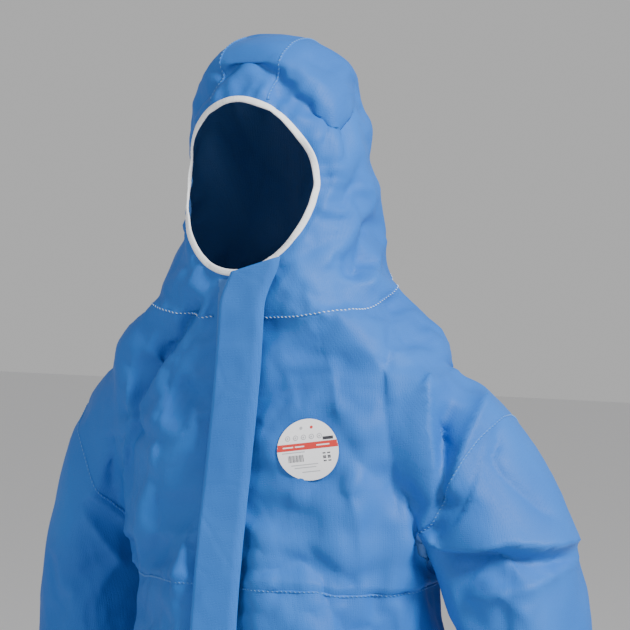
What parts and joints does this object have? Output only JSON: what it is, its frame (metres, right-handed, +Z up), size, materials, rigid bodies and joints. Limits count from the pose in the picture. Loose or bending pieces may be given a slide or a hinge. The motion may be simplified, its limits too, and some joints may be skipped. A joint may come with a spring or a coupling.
{
  "type": "chemical protective suit",
  "caption": "Hooded one-piece protective coverall, elasticated at face, wrists, waist and ankles, with a front zip under a storm flap and a round chest label.",
  "frame": {"origin": "middle of the neck base, where the suit hangs on the wearer's shoulders", "axes": "+Z up, the wearer faces -Y, the wearer's left is +X"},
  "size_m": [0.6604, 0.2927, 1.7072],
  "materials": {
    "blue_cloth": "matt spunbond cloth",
    "flap_cloth": "matt spunbond cloth, slightly lighter",
    "white_elastic": "woven elastic binding",
    "inner_elastic": "woven elastic",
    "seam_thread": "overlocked thread",
    "label_paper": "printed paper sticker",
    "zip_tape": "woven tape",
    "zip_coil": "moulded coil",
    "zip_metal": "enamelled"
  },
  "bodies": {
    "torso": {"chest_panel_left": "blue_cloth", "chest_panel_right": "blue_cloth", "back_panel": "blue_cloth", "trouser_front_left": "blue_cloth", "trouser_front_right": "blue_cloth", "trouser_seat_left": "blue_cloth", "trouser_seat_right": "blue_cloth", "crotch_seam": "seam_thread", "neck_seam": "seam_thread", "waist_seam": "seam_thread", "armhole_seam_left": "seam_thread", "armhole_seam_right": "seam_thread", "waist_elastic": "inner_elastic", "label": "label_paper", "zip_coil_left": "zip_coil", "zip_coil_right": "zip_coil", "zip_tape_left": "zip_tape", "zip_tape_right": "zip_tape", "zip_top_stop_left": "zip_metal", "zip_top_stop_right": "zip_metal", "zip_bottom_stop": "zip_metal", "neck_fold": "blue_cloth", "shoulder_fold_left": "blue_cloth", "shoulder_fold_right": "blue_cloth", "hip_fold_left": "blue_cloth", "hip_fold_right": "blue_cloth"},
    "hood": {"hood_center_panel": "blue_cloth", "hood_side_panel_left": "blue_cloth", "hood_side_panel_right": "blue_cloth", "hood_seam_left": "seam_thread", "hood_seam_right": "seam_thread", "face_elastic": "white_elastic"},
    "storm_flap": {"storm_flap": "flap_cloth"},
    "slider": {"zip_slider": "zip_metal"},
    "pull_tab": {"zip_pull_tab": "zip_metal"},
    "upper_arm_left": {"upper_sleeve_left": "blue_cloth", "elbow_fold_left": "blue_cloth"},
    "forearm_left": {"lower_sleeve_left": "blue_cloth", "wrist_elastic_left": "white_elastic"},
    "thigh_left": {"thigh_left": "blue_cloth", "knee_fold_left": "blue_cloth"},
    "shin_left": {"shin_left": "blue_cloth", "ankle_elastic_left": "white_elastic"},
    "upper_arm_right": {"upper_sleeve_right": "blue_cloth", "elbow_fold_right": "blue_cloth"},
    "forearm_right": {"lower_sleeve_right": "blue_cloth", "wrist_elastic_right": "white_elastic"},
    "thigh_right": {"thigh_right": "blue_cloth", "knee_fold_right": "blue_cloth"},
    "shin_right": {"shin_right": "blue_cloth", "ankle_elastic_right": "white_elastic"}
  },
  "joints": [
    {"name": "zip_travel", "type": "slide", "parent": "torso", "child": "slider", "axis": [0, -0.0773, -0.997], "range_m": [0, 0.698]},
    {"name": "pull_tab_swing", "type": "hinge", "parent": "slider", "child": "pull_tab", "pos_m": [0, -0.10582, 0.01574], "axis": [-1, 0, 0], "range_deg": [0, 18]},
    {"name": "storm_flap_open", "type": "hinge", "parent": "torso", "child": "storm_flap", "pos_m": [-0.029, -0.1578, -0.69494], "axis": [0, -0.0773, -0.997], "range_deg": [0, 120]},
    {"name": "hood_tilt_back", "type": "hinge", "parent": "torso", "child": "hood", "pos_m": [0, 0.015, 0.05], "axis": [-1, 0, 0], "range_deg": [0, 20], "deforming": ["neck_fold"]},
    {"name": "shoulder_raise_left", "type": "hinge", "parent": "torso", "child": "upper_arm_left", "pos_m": [0.172, 0.008, -0.095], "axis": [0, -1, 0], "range_deg": [0, 65], "deforming": ["shoulder_fold_left"]},
    {"name": "elbow_bend_left", "type": "hinge", "parent": "upper_arm_left", "child": "forearm_left", "pos_m": [0.262, 0.038, -0.365], "axis": [-1, 0, 0], "range_deg": [-10, 65], "deforming": ["elbow_fold_left"]},
    {"name": "hip_bend_left", "type": "hinge", "parent": "torso", "child": "thigh_left", "pos_m": [0.1, -0.006, -0.665], "axis": [-1, 0, 0], "range_deg": [-10, 75], "deforming": ["hip_fold_left"]},
    {"name": "knee_bend_left", "type": "hinge", "parent": "thigh_left", "child": "shin_left", "pos_m": [0.118, 0.004, -1.035], "axis": [1, 0, 0], "range_deg": [0, 75], "deforming": ["knee_fold_left"]},
    {"name": "shoulder_raise_right", "type": "hinge", "parent": "torso", "child": "upper_arm_right", "pos_m": [-0.172, 0.008, -0.095], "axis": [0, 1, 0], "range_deg": [0, 65], "deforming": ["shoulder_fold_right"]},
    {"name": "elbow_bend_right", "type": "hinge", "parent": "upper_arm_right", "child": "forearm_right", "pos_m": [-0.262, 0.038, -0.365], "axis": [-1, 0, 0], "range_deg": [-10, 65], "deforming": ["elbow_fold_right"]},
    {"name": "hip_bend_right", "type": "hinge", "parent": "torso", "child": "thigh_right", "pos_m": [-0.1, -0.006, -0.665], "axis": [-1, 0, 0], "range_deg": [-10, 75], "deforming": ["hip_fold_right"]},
    {"name": "knee_bend_right", "type": "hinge", "parent": "thigh_right", "child": "shin_right", "pos_m": [-0.118, 0.004, -1.035], "axis": [1, 0, 0], "range_deg": [0, 75], "deforming": ["knee_fold_right"]}
  ]
}
